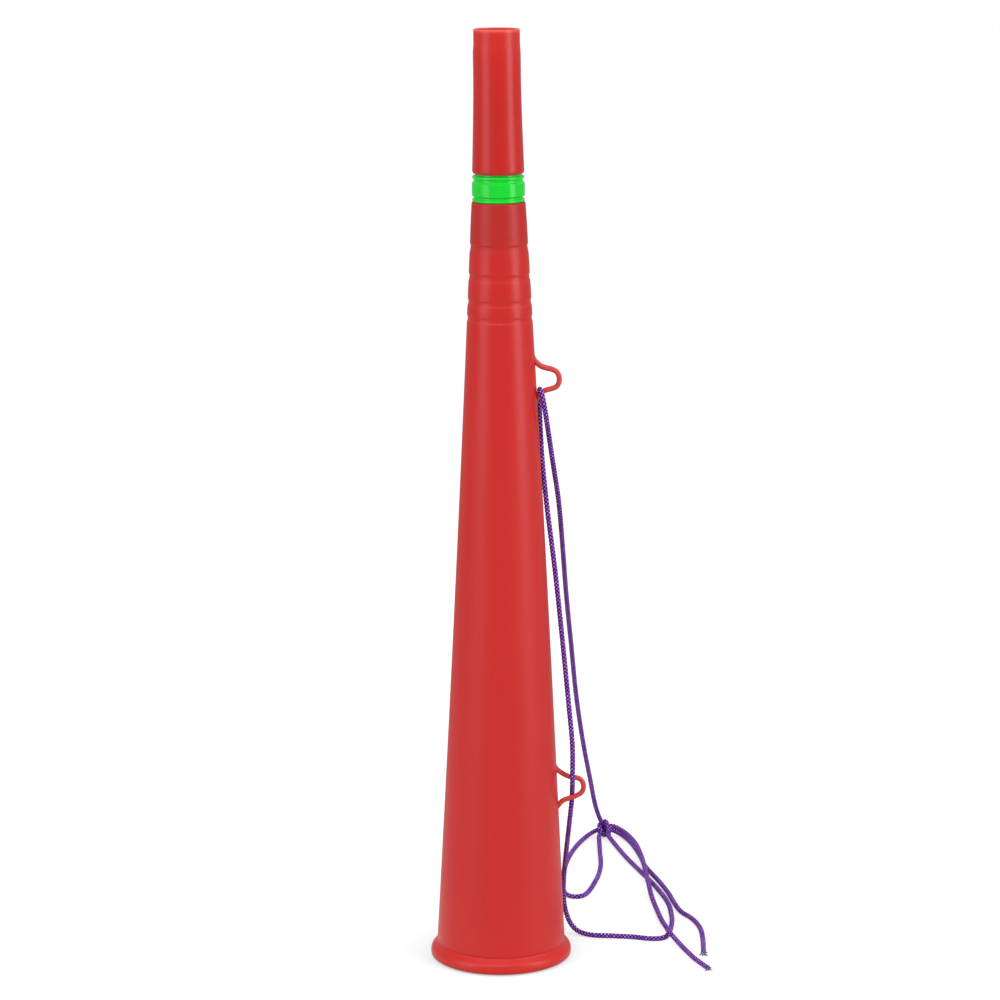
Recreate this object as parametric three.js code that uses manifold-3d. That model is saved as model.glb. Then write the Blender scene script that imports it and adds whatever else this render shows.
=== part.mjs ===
// A fan's plastic stadium horn that stands on its bell, with its braided lanyard.
// A tapered body carries two moulded eyelets, a coupling ring plugs into its neck,
// and an open mouth tube plugs onto the ring. Millimetres, +Z up, bell rim on z = 0.

import * as THREE from "three";
import { mergeVertices } from "three/addons/utils/BufferGeometryUtils.js";
import Module from "manifold-3d";

const wasm = await Module();
wasm.setup();

// Horn body: one injection moulding, a straight taper from neck to bell
const bodyLength = 508.5;
const neckRadius = 17.35;
const bellRadius = 43.3;
const bodyWall = 1.5;
const neckEdgeRounding = 0.6;
const neckThickeningLength = 26;

// Rolled bead round the bell's rim, flat where the horn stands
const rimBeadReach = 4.15;
const rimBeadHalfHeight = 5.6;
const rimBeadCentreHeight = 4.4;
const rimBeadTopShare = 0.935;
const rimFilletHeight = 1.6;
const rimFilletReach = 0.5;

// Four shallow finger grooves round the neck
const gripLength = 73.4;
const grooveShares = [0.361, 0.627, 0.853, 1];
const grooveDepth = 0.38;
const grooveUpperHeight = 1.3;
const grooveLowerHeight = 2.3;

// Two lanyard eyelets, round bars moulded on the body at its parting line
const eyeletBarRadius = 1.6;
const eyeletHalfHeight = 16.4;
const upperEyeletHeight = 392.3;
const upperEyeletReach = 16.8;
const lowerEyeletHeight = 115.7;
const lowerEyeletReach = 18.4;

// Coupling ring between body and mouth tube
const ringLowerFlangeHeight = 2.0;
const ringUpperFlangeHeight = 1.6;
const ringGrooveHeight = 2.4;
const ringBandHeight = 9.0;
const ringLowerFlangeRadius = 17.0;
const ringUpperFlangeRadius = 16.7;
const ringGrooveRadius = 16.3;
const ringBandRadius = 17.1;
const ringEdgeRounding = 0.35;
const ringBoreRadius = 12.9;
const lowerSpigotRadius = 15.2;
const lowerSpigotLength = 18;
const upperSpigotRadius = 14.6;
const upperSpigotLength = 16;
const spigotChamfer = 0.7;

// Mouth tube: open at both ends, narrowing to a plain lip
const tubeLength = 93.5;
const tubeFootRadius = 16.75;
const tubeFootRoundingHeight = 3;
const tubeFootRoundingReach = 1.4;
const tubeWaistRadius = 15.1;
const tubeTaperLength = 61;
const tubeTaperPower = 1.4;
const tubeLipRadius = 14.7;
const tubeLipLength = 9.5;
const tubeLipStepHeight = 5;
const tubeLipRounding = 0.6;
const tubeWall = 1.7;

// Fits: a light push fit on each spigot, a thin line at each seat
const spigotClearance = 0.15;
const spigotEndClearance = 1;
const seatClearance = 0.3;
const cutOverrun = 2;
const mergeDistance = 0.0001;

// Lanyard cord
const cordRadius = 1.55;
const knotHalfWidth = 4.5;
const knotHalfDepth = 5.6;
const knotHalfHeight = 5.9;
const knotCollarRadius = 1.5;
const knotFloorGap = 0.1;

// Facets: counts only
const turnSegments = 48;
const beadSteps = 8;
const taperSteps = 6;
const footRoundingSteps = 3;
const eyeletSteps = 28;
const barSides = 8;
const cordSides = 8;
const knotSegments = 16;
const knotRings = 10;
const knotCollarTurns = 8;

const redPlastic = { color: 0xcd3430, roughness: 0.42, metalness: 0 };
const greenPlastic = { color: 0x22d842, roughness: 0.25, metalness: 0 };
const purpleCord = { color: 0x6b2f9e, roughness: 0.8, metalness: 0 };

// Turned shapes

// Turns a closed [radius, height] outline about +Z; outlines run anticlockwise in the r-z plane.
function turned(outline) {
  const points = outline.map(([r, z]) => new THREE.Vector2(r, z));
  const geometry = new THREE.LatheGeometry(points, turnSegments);
  geometry.rotateX(Math.PI / 2);
  return geometry;
}

// Closes an outline on itself, for a piece with a bore.
function closed(outline) {
  return [...outline, outline[0]];
}

// Joining and cutting

function toSolid(geometry) {
  const bare = geometry.clone();
  bare.deleteAttribute("normal");
  bare.deleteAttribute("uv");
  const merged = mergeVertices(bare, mergeDistance);
  return new wasm.Manifold(
    new wasm.Mesh({
      numProp: 3,
      vertProperties: new Float32Array(merged.attributes.position.array),
      triVerts: new Uint32Array(merged.index.array),
    }),
  );
}

function toGeometry(solid) {
  const mesh = solid.getMesh();
  const geometry = new THREE.BufferGeometry();
  geometry.setAttribute("position", new THREE.BufferAttribute(mesh.vertProperties, 3));
  geometry.setIndex(new THREE.BufferAttribute(mesh.triVerts, 1));
  return geometry;
}

// A round bar of the given radius along a curve, one step between each two of its points.
class PointByPointCurve extends THREE.CatmullRomCurve3 {
  getUtoTmapping(u) {
    return u;
  }
}

function barAlong(curve, radius, sides, steps) {
  const section = new THREE.Shape();
  for (let i = 0; i < sides; i += 1) {
    const angle = ((i + 0.5) / sides) * 2 * Math.PI;
    const corner = [radius * Math.cos(angle), radius * Math.sin(angle)];
    if (i === 0) section.moveTo(...corner);
    else section.lineTo(...corner);
  }
  section.closePath();
  return new THREE.ExtrudeGeometry(section, { steps, extrudePath: curve });
}

// Horn body

// The taper's outer radius at a height; every groove, bead and eyelet follows it.
function taperRadius(z) {
  return bellRadius + (neckRadius - bellRadius) * (z / bodyLength);
}

function beadPoints() {
  const centreRadius = taperRadius(rimBeadCentreHeight);
  const footAngle = -Math.asin(Math.min(1, rimBeadCentreHeight / rimBeadHalfHeight));
  const topAngle = Math.asin(rimBeadTopShare);
  return Array.from({ length: beadSteps + 1 }, (_, i) => {
    const angle = footAngle + (topAngle - footAngle) * (i / beadSteps);
    const r = centreRadius + rimBeadReach * Math.cos(angle);
    const z = rimBeadCentreHeight + rimBeadHalfHeight * Math.sin(angle);
    return [r, z];
  });
}

function groovePoints() {
  const heights = grooveShares.map((share) => bodyLength - gripLength * share).reverse();
  return heights.flatMap((z) => [
    [taperRadius(z - grooveLowerHeight), z - grooveLowerHeight],
    [taperRadius(z) - grooveDepth, z],
    [taperRadius(z + grooveUpperHeight), z + grooveUpperHeight],
  ]);
}

function bodyOutline() {
  const bead = beadPoints();
  const beadTop = rimBeadCentreHeight + rimBeadHalfHeight;
  const filletTop = beadTop + rimFilletHeight;
  return [
    [0, 0],
    ...bead,
    [taperRadius(beadTop) + rimFilletReach, beadTop + rimFilletHeight / 4],
    [taperRadius(filletTop), filletTop],
    ...groovePoints(),
    [taperRadius(bodyLength - neckEdgeRounding), bodyLength - neckEdgeRounding],
    [neckRadius - neckEdgeRounding, bodyLength],
    [0, bodyLength],
  ];
}

const socketRadius = lowerSpigotRadius + spigotClearance;
const socketDepth = lowerSpigotLength + spigotEndClearance;

function boreOutline() {
  const socketBottom = bodyLength - socketDepth;
  const thickeningBottom = socketBottom - neckThickeningLength;
  return [
    [0, -cutOverrun],
    [taperRadius(-cutOverrun) - bodyWall, -cutOverrun],
    [taperRadius(thickeningBottom) - bodyWall, thickeningBottom],
    [socketRadius, socketBottom],
    [socketRadius, bodyLength - spigotChamfer],
    [socketRadius + spigotChamfer / 2, bodyLength],
    [socketRadius + spigotChamfer / 2, bodyLength + cutOverrun],
    [0, bodyLength + cutOverrun],
  ];
}

// Half of an eyelet from its upper foot to its tip: shares of the reach and of the half height.
// The feet run into the wall, and the limbs curve in before they round the tip.
const eyeletShares = [
  [-0.06, 1],
  [0.07, 0.84],
  [0.22, 0.62],
  [0.42, 0.475],
  [0.63, 0.43],
  [0.84, 0.34],
  [0.955, 0.19],
  [1, 0],
];

function eyeletBar(height, reach) {
  const upper = eyeletShares.map(([out, up]) => [out * reach, up * eyeletHalfHeight]);
  const lower = upper.slice(0, -1).reverse().map(([out, up]) => [out, -up]);
  const points = [...upper, ...lower].map(([out, up]) => {
    return new THREE.Vector3(taperRadius(height + up) + out, 0, height + up);
  });
  return barAlong(new THREE.CatmullRomCurve3(points), eyeletBarRadius, barSides, eyeletSteps);
}

function bodyGeometry() {
  const blank = toSolid(turned(bodyOutline()))
    .add(toSolid(eyeletBar(upperEyeletHeight, upperEyeletReach)))
    .add(toSolid(eyeletBar(lowerEyeletHeight, lowerEyeletReach)));
  return toGeometry(blank.subtract(toSolid(turned(boreOutline()))));
}

// Coupling ring: its lower flange sits on the body's neck

const ringHeight =
  ringLowerFlangeHeight + ringUpperFlangeHeight + 2 * ringGrooveHeight + ringBandHeight;

function ringGeometry() {
  const lowerGroove = ringLowerFlangeHeight;
  const bandBottom = lowerGroove + ringGrooveHeight;
  const bandTop = bandBottom + ringBandHeight;
  const upperFlange = bandTop + ringGrooveHeight;
  const e = ringEdgeRounding;
  return turned(
    closed([
      [ringBoreRadius, -lowerSpigotLength],
      [lowerSpigotRadius - spigotChamfer, -lowerSpigotLength],
      [lowerSpigotRadius, spigotChamfer - lowerSpigotLength],
      [lowerSpigotRadius, 0],
      [ringLowerFlangeRadius - e, 0],
      [ringLowerFlangeRadius, e],
      [ringLowerFlangeRadius, lowerGroove - e],
      [ringGrooveRadius, lowerGroove],
      [ringGrooveRadius, bandBottom - e],
      [ringBandRadius, bandBottom + e],
      [ringBandRadius, bandTop - e],
      [ringGrooveRadius, bandTop + e],
      [ringGrooveRadius, upperFlange],
      [ringUpperFlangeRadius, upperFlange + e],
      [ringUpperFlangeRadius, ringHeight - e],
      [ringUpperFlangeRadius - e, ringHeight],
      [upperSpigotRadius, ringHeight],
      [upperSpigotRadius, ringHeight + upperSpigotLength - spigotChamfer],
      [upperSpigotRadius - spigotChamfer, ringHeight + upperSpigotLength],
      [ringBoreRadius, ringHeight + upperSpigotLength],
    ]),
  );
}

// Mouth tube: its foot sits on the ring's upper flange

// The tube's outer radius above its foot: it narrows quickly at first, then runs straight.
function tubeTaperRadius(z) {
  const left = Math.max(0, 1 - z / tubeTaperLength);
  return tubeWaistRadius + (tubeFootRadius - tubeWaistRadius) * left ** tubeTaperPower;
}

// The foot's rounded edge: a quarter of an ellipse up to the taper, without its first point.
function footRounding() {
  const startRadius = tubeFootRadius - tubeFootRoundingReach;
  const endRadius = tubeTaperRadius(tubeFootRoundingHeight);
  return Array.from({ length: footRoundingSteps }, (_, i) => {
    const angle = ((i + 1) / footRoundingSteps) * (Math.PI / 2);
    const r = startRadius + (endRadius - startRadius) * Math.sin(angle);
    return [r, tubeFootRoundingHeight * (1 - Math.cos(angle))];
  });
}

function tubeGeometry() {
  const tubeSocketRadius = upperSpigotRadius + spigotClearance;
  const tubeSocketDepth = upperSpigotLength + spigotEndClearance;
  const lipBottom = tubeLength - tubeLipLength;
  const taper = Array.from({ length: taperSteps }, (_, i) => {
    const span = tubeTaperLength - tubeFootRoundingHeight;
    const z = tubeFootRoundingHeight + span * ((i + 1) / taperSteps);
    return [tubeTaperRadius(z), z];
  });
  const inside = taper.map(([r, z]) => [r - tubeWall, z]).filter(([, z]) => z > tubeSocketDepth);
  return turned(
    closed([
      [tubeSocketRadius, 0],
      [tubeFootRadius - tubeFootRoundingReach, 0],
      ...footRounding(),
      ...taper,
      [tubeWaistRadius, lipBottom - tubeLipStepHeight],
      [tubeLipRadius, lipBottom],
      [tubeLipRadius, tubeLength - tubeLipRounding],
      [tubeLipRadius - tubeLipRounding, tubeLength],
      [tubeLipRadius - tubeWall, tubeLength],
      ...inside.reverse(),
      [tubeTaperRadius(tubeSocketDepth) - tubeWall, tubeSocketDepth],
      [tubeSocketRadius, tubeSocketDepth],
    ]),
  );
}

// Lanyard: one braided cord, shown from melted end to melted end. Its points are places in
// millimetres from the horn's axis. It hangs over the upper eyelet's lower limb; one strand
// falls behind the horn to the knot on the floor, and the other goes down through the lower
// eyelet and round on the floor to the same knot, a slipped knot with one bow and two tails.

const farStrandRoute = [
  [27.1, -0.4, 386.4],
  [27.3, -3.2, 385.6],
  [27.7, -5.4, 383.4],
  [28.4, -6.2, 380.2],
  [30.0, -5.2, 373.0],
  [32.3, 1.0, 361.0],
  [35.9, 17.0, 332.2],
  [39.5, 32.6, 304.4],
  [46.1, 78.4, 227.8],
  [49.9, 105.2, 187.2],
  [53.9, 135.8, 144.5],
  [59.8, 172.2, 99.1],
  [65.7, 205.6, 62.4],
  [69.9, 233.0, 35.8],
  [73.2, 250.0, 20.8],
  [75.5, 258.0, 13.4],
];

const nearStrandRoute = [
  [27.1, 0.4, 386.4],
  [27.1, 3.2, 385.6],
  [27.1, 5.4, 383.4],
  [27.2, 6.2, 380.2],
  [27.9, 6.3, 373.0],
  [28.9, 4.9, 342.4],
  [31.4, 3.4, 310.4],
  [37.2, 1.3, 262.3],
  [45.4, -2.3, 173.5],
  [47.9, -3.5, 145.0],
  [48.3, -4.3, 125.5],
  [48.3, -2.8, 119.4],
  [48.2, 2.8, 111.8],
  [48.0, 4.6, 105.4],
  [46.3, 10.0, 87.0],
  [42.8, 28.4, 38.6],
  [43.8, 34.0, 21.5],
  [47.2, 37.3, 9.2],
  [51.6, 37.6, 3.4],
  [56.7, 35.2, 1.6],
];

const floorRunRoute = [
  [57.2, 34.9, 1.6],
  [64.2, 31.0, 1.6],
  [76.0, 29.7, 1.6],
  [90.3, 27.3, 1.6],
  [100.4, 23.9, 1.6],
  [106.2, 23.1, 1.6],
  [111.6, 25.4, 1.6],
  [114.4, 31.2, 1.6],
  [118.4, 56.0, 1.6],
  [119.4, 78.0, 1.6],
  [118.0, 100.4, 1.6],
  [111.8, 134.4, 1.6],
  [93.8, 205.1, 1.7],
  [84.4, 245.6, 2.2],
  [81.1, 254.9, 3.6],
];

const bowLoopRoute = [
  [71.9, 262.6, 4.8],
  [67.9, 260.6, 3.6],
  [61.6, 252.2, 2.2],
  [54.7, 231.3, 1.7],
  [48.5, 196.0, 1.6],
  [45.3, 161.0, 1.6],
  [45.6, 123.4, 1.6],
  [48.8, 116.6, 1.6],
  [53.8, 114.4, 1.6],
  [58.8, 117.4, 1.6],
  [69.5, 153.5, 1.6],
  [73.6, 185.8, 1.6],
  [74.0, 222.0, 1.8],
  [74.3, 250.6, 3.0],
];

const outerTailRoute = [
  [82.0, 264.8, 8.4],
  [86.6, 265.0, 7.0],
  [91.2, 261.4, 5.8],
  [95.4, 253.6, 4.9],
  [102.4, 217.0, 4.6],
  [104.4, 192.0, 5.4],
  [105.4, 140.0, 5.1],
  [107.0, 113.0, 2.1],
  [109.8, 80.0, 1.8],
  [111.8, 53.0, 3.6],
  [113.2, 38.0, 5.4],
  [115.3, 25.6, 5.3],
  [120.4, 15.2, 2.1],
  [125.8, -4.0, 1.7],
  [130.4, -18.6, 1.6],
  [137.6, -36.4, 1.6],
];

const innerTailRoute = [
  [82.0, 264.2, 4.8],
  [88.2, 260.8, 2.8],
  [95.8, 243.0, 1.8],
  [102.2, 211.0, 1.6],
  [113.6, 150.2, 1.6],
  [118.6, 126.0, 1.6],
  [125.9, 81.2, 1.6],
  [132.4, 66.8, 1.6],
  [137.0, 48.0, 1.6],
  [137.9, 28.0, 1.6],
  [136.6, -6.4, 1.6],
];

const knotPlace = [76.8, 261.8];

function cordGeometry(route) {
  const points = route.map((place) => new THREE.Vector3(...place));
  const curve = new PointByPointCurve(points, false, "centripetal");
  return barAlong(curve, cordRadius, cordSides, route.length - 1);
}

// The knot's lump: a ball of cord with one turn standing proud round its middle.
function knotGeometry() {
  const ball = new THREE.SphereGeometry(1, knotSegments, knotRings);
  ball.scale(knotHalfWidth - knotCollarRadius / 2, knotHalfDepth, knotHalfHeight);
  const collarProfile = Array.from({ length: knotCollarTurns + 1 }, (_, i) => {
    const angle = ((i % knotCollarTurns) / knotCollarTurns) * 2 * Math.PI;
    const centre = knotHalfWidth - knotCollarRadius;
    const r = centre + knotCollarRadius * Math.cos(angle);
    return new THREE.Vector2(r, knotCollarRadius * Math.sin(angle));
  });
  const collar = new THREE.LatheGeometry(collarProfile, knotSegments);
  collar.scale(1, 1, (knotHalfHeight - knotFloorGap) / knotHalfWidth);
  const knot = toGeometry(toSolid(ball).add(toSolid(collar)));
  knot.translate(knotPlace[0], knotPlace[1], knotHalfHeight + knotFloorGap);
  return knot;
}

// Assembly

const horn = new THREE.Group();

function addPiece(name, geometry, finish, height = 0) {
  const mesh = new THREE.Mesh(geometry, new THREE.MeshStandardMaterial(finish));
  mesh.name = name;
  mesh.position.z = height;
  horn.add(mesh);
}

const ringSeat = bodyLength + seatClearance;
const tubeSeat = ringSeat + ringHeight + seatClearance;

addPiece("horn_body", bodyGeometry(), redPlastic);
addPiece("coupling_ring", ringGeometry(), greenPlastic, ringSeat);
addPiece("mouth_tube", tubeGeometry(), redPlastic, tubeSeat);

const lanyard = {
  cord_far_strand: farStrandRoute,
  cord_near_strand: nearStrandRoute,
  cord_floor_run: floorRunRoute,
  cord_bow_loop: bowLoopRoute,
  cord_outer_tail: outerTailRoute,
  cord_inner_tail: innerTailRoute,
};
for (const [name, route] of Object.entries(lanyard)) {
  addPiece(name, cordGeometry(route), purpleCord);
}
addPiece("cord_knot", knotGeometry(), purpleCord);

// The origin is at the middle of the body's footprint, so the horn's axis stands a little
// to one side of it, opposite the eyelets.
const footprint = new THREE.Box3().setFromObject(horn.getObjectByName("horn_body"));
horn.position.x = -(footprint.min.x + footprint.max.x) / 2;

export default horn;
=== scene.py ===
import math

import bpy
import numpy as np
from mathutils import Matrix, Vector


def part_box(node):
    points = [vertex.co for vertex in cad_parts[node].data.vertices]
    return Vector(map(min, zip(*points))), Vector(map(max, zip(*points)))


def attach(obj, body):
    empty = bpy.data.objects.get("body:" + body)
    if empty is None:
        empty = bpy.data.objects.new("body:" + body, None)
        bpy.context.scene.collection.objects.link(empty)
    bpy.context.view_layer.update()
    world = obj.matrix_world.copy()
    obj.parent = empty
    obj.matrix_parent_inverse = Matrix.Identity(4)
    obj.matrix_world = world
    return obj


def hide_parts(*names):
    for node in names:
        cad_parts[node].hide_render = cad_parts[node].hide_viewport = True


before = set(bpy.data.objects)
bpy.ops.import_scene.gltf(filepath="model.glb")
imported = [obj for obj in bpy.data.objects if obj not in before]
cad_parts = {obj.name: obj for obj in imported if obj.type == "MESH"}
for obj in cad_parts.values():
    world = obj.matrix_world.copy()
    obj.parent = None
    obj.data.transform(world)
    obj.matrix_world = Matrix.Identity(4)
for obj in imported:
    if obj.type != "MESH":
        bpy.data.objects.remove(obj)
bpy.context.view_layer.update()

tube_low, tube_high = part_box("mouth_tube")
axis_x = (tube_low[0] + tube_high[0]) / 2
mm = 0.001


# Camera
# It stands in front of the horn, a little above its mouth, and looks slightly down through a
# long lens. The roll leans the horn's top a hair to the left, as in the photograph.

camera_distance = 2.150
camera_height = 0.752
camera_side_step = 0.0008
camera_tilt = math.radians(11.55)
camera_roll = -0.0049
camera_lens = 120.17

camera = bpy.data.objects.new("camera", bpy.data.cameras.new("camera"))
camera.data.lens = camera_lens
camera.matrix_world = (
    Matrix.Translation((axis_x + camera_side_step, -camera_distance, camera_height))
    @ Matrix.Rotation(math.pi / 2 - camera_tilt, 4, "X")
    @ Matrix.Rotation(camera_roll, 4, "Z")
)
bpy.context.collection.objects.link(camera)
bpy.context.scene.camera = camera
bpy.context.scene.view_settings.view_transform = "Standard"


# Lanyard
# One purple cord of 3.1 mm, braided of synthetic yarn and hung over the upper eyelet's lower
# limb. One strand falls straight to a knot on the floor behind, and the other goes through
# the lower eyelet and along the floor to the same knot, which has a bow and two tails.

# Each route is a list of places in metres from the horn's axis
back_strand_route = [
    (0.0271, -0.0004, 0.3866),
    (0.0277, -0.0032, 0.3856),
    (0.0286, -0.0054, 0.3834),
    (0.0293, -0.0062, 0.3802),
    (0.0305, -0.0052, 0.3730),
    (0.0322, 0.0010, 0.3610),
    (0.0362, 0.0170, 0.3322),
    (0.0400, 0.0326, 0.3044),
    (0.0461, 0.0784, 0.2278),
    (0.0499, 0.1052, 0.1872),
    (0.0539, 0.1358, 0.1445),
    (0.0598, 0.1722, 0.0991),
    (0.0657, 0.2056, 0.0624),
    (0.0699, 0.2330, 0.0358),
    (0.0732, 0.2500, 0.0208),
    (0.0755, 0.2580, 0.0134),
]
front_strand_route = [
    (0.0271, 0.0004, 0.3866),
    (0.0271, 0.0032, 0.3856),
    (0.0271, 0.0054, 0.3834),
    (0.0268, 0.0062, 0.3802),
    (0.0270, 0.0064, 0.3730),
    (0.0284, 0.0066, 0.3424),
    (0.0314, 0.0034, 0.3104),
    (0.0372, 0.0013, 0.2623),
    (0.0459, -0.0023, 0.1735),
    (0.0483, -0.0035, 0.1450),
    (0.0483, -0.0043, 0.1255),
    (0.0483, -0.0028, 0.1194),
    (0.0482, 0.0028, 0.1118),
    (0.0480, 0.0046, 0.1054),
    (0.0463, 0.0100, 0.0870),
    (0.0428, 0.0284, 0.0386),
    (0.0438, 0.0340, 0.0215),
    (0.0472, 0.0373, 0.0092),
    (0.0516, 0.0376, 0.0034),
    (0.0567, 0.0352, 0.0016),
]
floor_run_route = [
    (0.0572, 0.0349, 0.0016),
    (0.0642, 0.0310, 0.0016),
    (0.0760, 0.0297, 0.0016),
    (0.0903, 0.0273, 0.0016),
    (0.1004, 0.0239, 0.0016),
    (0.1062, 0.0231, 0.0016),
    (0.1116, 0.0254, 0.0016),
    (0.1144, 0.0312, 0.0016),
    (0.1184, 0.0560, 0.0016),
    (0.1190, 0.0780, 0.0016),
    (0.1178, 0.1004, 0.0016),
    (0.1114, 0.1344, 0.0016),
    (0.0925, 0.2051, 0.0017),
    (0.0832, 0.2456, 0.0022),
    (0.0803, 0.2552, 0.0034),
]
bow_route = [
    (0.0722, 0.2624, 0.0048),
    (0.0685, 0.2602, 0.0036),
    (0.0627, 0.2510, 0.0022),
    (0.0556, 0.2305, 0.0017),
    (0.0485, 0.1960, 0.0016),
    (0.0453, 0.1610, 0.0016),
    (0.0456, 0.1234, 0.0016),
    (0.0488, 0.1166, 0.0016),
    (0.0538, 0.1144, 0.0016),
    (0.0588, 0.1174, 0.0016),
    (0.0689, 0.1535, 0.0016),
    (0.0730, 0.1858, 0.0016),
    (0.0735, 0.2220, 0.0018),
    (0.0738, 0.2506, 0.0030),
]
outer_tail_route = [
    (0.0819, 0.2658, 0.0074),
    (0.0860, 0.2666, 0.0066),
    (0.0902, 0.2629, 0.0053),
    (0.0943, 0.2553, 0.0046),
    (0.0981, 0.2416, 0.0045),
    (0.1008, 0.2255, 0.0049),
    (0.1024, 0.2088, 0.0050),
    (0.1037, 0.1902, 0.0052),
    (0.1054, 0.1400, 0.0051),
    (0.1070, 0.1130, 0.0021),
    (0.1098, 0.0800, 0.0018),
    (0.1118, 0.0530, 0.0036),
    (0.1132, 0.0380, 0.0054),
    (0.1153, 0.0256, 0.0053),
    (0.1204, 0.0152, 0.0021),
    (0.1258, -0.0040, 0.0017),
    (0.1304, -0.0186, 0.0016),
    (0.1376, -0.0364, 0.0016),
]
inner_tail_route = [
    (0.0828, 0.2650, 0.0046),
    (0.0871, 0.2641, 0.0032),
    (0.0911, 0.2592, 0.0022),
    (0.0947, 0.2502, 0.0018),
    (0.0983, 0.2364, 0.0017),
    (0.1010, 0.2217, 0.0016),
    (0.1037, 0.2023, 0.0016),
    (0.1052, 0.1862, 0.0016),
    (0.1136, 0.1502, 0.0016),
    (0.1186, 0.1260, 0.0016),
    (0.1259, 0.0812, 0.0016),
    (0.1324, 0.0668, 0.0016),
    (0.1370, 0.0480, 0.0016),
    (0.1379, 0.0280, 0.0016),
    (0.1366, -0.0064, 0.0016),
]

# Where the cord's ends run on inside the knot
back_strand_tuck = [
    (0.0762, 0.2616, 0.0112),
    (0.0770, 0.2642, 0.0088),
    (0.0775, 0.2650, 0.0064),
]
bow_first_tuck = [(0.0770, 0.2648, 0.0062)]
bow_last_tuck = [
    (0.0742, 0.2562, 0.0032),
    (0.0752, 0.2604, 0.0044),
    (0.0768, 0.2642, 0.0056),
]
outer_tail_tuck = [
    (0.0774, 0.2648, 0.0060),
    (0.0797, 0.2655, 0.0073),
]
inner_tail_tuck = [(0.0780, 0.2652, 0.0044)]

cord_diameter = 3.1 * mm
cord_radius = cord_diameter / 2
floor_gap = 0.02 * mm
line_step = 0.24 * mm
line_easing = 2.0 * mm

# The crown and the relief are shares of the cord's radius, and the dip one of a yarn's height
braid_yarns = 4
braid_repeat = 2.5 * mm
sides_per_yarn = 7
braid_sides = sides_per_yarn * braid_yarns
braid_dip = 0.9
braid_crown = 1.16
braid_relief = 0.30
# Each stitch's painted highlight has a strength drawn at random between the dimmest value and 1
stitch_seed = 3
dimmest_glint = 0.3
stitch_draws = 4001
stitch_glints = np.random.default_rng(stitch_seed).uniform(dimmest_glint, 1, stitch_draws)

# No stretch of cord runs along this direction, from which its rings are turned
frame_reference = (0.4, -0.6, 0.7)


def unit(vectors):
    """The same directions, each divided by its length."""
    return vectors / np.linalg.norm(vectors, axis=-1, keepdims=True)


def curve_through(places, samples=40):
    """A centripetal Catmull-Rom curve: between two places, the repeated weighted means of the
    four nearest places, with knots spaced by the square root of the distances."""
    p = np.array(places)
    p = np.vstack([2 * p[0] - p[1], p, 2 * p[-1] - p[-2]])
    knots = np.concatenate([[0], np.cumsum(np.linalg.norm(np.diff(p, axis=0), axis=1) ** 0.5)])
    t0, t1, t2, t3 = (knots[k : k + len(p) - 3, None, None] for k in range(4))
    p0, p1, p2, p3 = (p[k : k + len(p) - 3, None, :] for k in range(4))
    t = t1 + (t2 - t1) * np.linspace(0, 1, samples, endpoint=False)[None, :, None]
    a1 = (p0 * (t1 - t) + p1 * (t - t0)) / (t1 - t0)
    a2 = (p1 * (t2 - t) + p2 * (t - t1)) / (t2 - t1)
    a3 = (p2 * (t3 - t) + p3 * (t - t2)) / (t3 - t2)
    b1 = (a1 * (t2 - t) + a2 * (t - t0)) / (t2 - t0)
    b2 = (a2 * (t3 - t) + a3 * (t - t1)) / (t3 - t1)
    curve = (b1 * (t2 - t) + b2 * (t - t1)) / (t2 - t1)
    return np.vstack([curve.reshape(-1, p.shape[1]), p[-2]])


def distances(line):
    """Distance along a line at each of its points."""
    return np.concatenate([[0], np.cumsum(np.linalg.norm(np.diff(line, axis=0), axis=1))])


def evenly(line, step):
    """The same line, with its points a step apart."""
    along = distances(line)
    places = np.linspace(0, along[-1], max(2, round(along[-1] / step) + 1))
    return np.stack([np.interp(places, along, axis) for axis in line.T], axis=1)


def eased(line, step, reach):
    """The line's weighted mean over its neighbours, with a bell curve of that reach. Past each
    end the line goes on as its own turned copy, which holds the end where it is."""
    line = evenly(line, step)
    wide = min(int(3 * reach / step), len(line) - 1)
    weights = np.exp(-0.5 * (np.arange(-wide, wide + 1) * step / reach) ** 2)
    before = 2 * line[0] - line[wide:0:-1]
    after = 2 * line[-1] - line[-2 : -wide - 2 : -1]
    padded = np.vstack([before, line, after])
    smooth = [np.convolve(axis, weights / weights.sum(), "valid") for axis in padded.T]
    return evenly(np.stack(smooth, axis=1), step)


def cord_line(places):
    """A cord's centreline in the row frame, from places measured from the horn's axis."""
    return eased(curve_through(places), line_step, line_easing) + np.array([axis_x, 0, 0])


def grid_faces(rows, columns, loop=False):
    """Four-sided faces of a grid whose columns close on themselves, and its rows too in a loop."""
    i = np.arange(rows if loop else rows - 1)[:, None]
    j = np.arange(columns)[None, :]
    next_row, next_column = (i + 1) % rows, (j + 1) % columns
    corners = [i * columns + j, i * columns + next_column,
               next_row * columns + next_column, next_row * columns + j]
    return np.stack(corners, axis=-1).reshape(-1, 4)


def mesh_piece(name, points, faces, finish, measures=()):
    """A smooth mesh object at the origin, with its points' measures as attributes."""
    mesh = bpy.data.meshes.new(name)
    mesh.from_pydata(points.reshape(-1, 3).tolist(), [], faces)
    mesh.polygons.foreach_set("use_smooth", np.ones(len(mesh.polygons), dtype=bool))
    for label, values in dict(measures).items():
        kind, field = ("FLOAT_VECTOR", "vector") if values.shape[-1] == 3 else ("FLOAT", "value")
        mesh.attributes.new(label, kind, "POINT").data.foreach_set(field, values.ravel())
    mesh.materials.append(finish)
    piece = bpy.data.objects.new(name, mesh)
    bpy.context.collection.objects.link(piece)
    return piece


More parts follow.
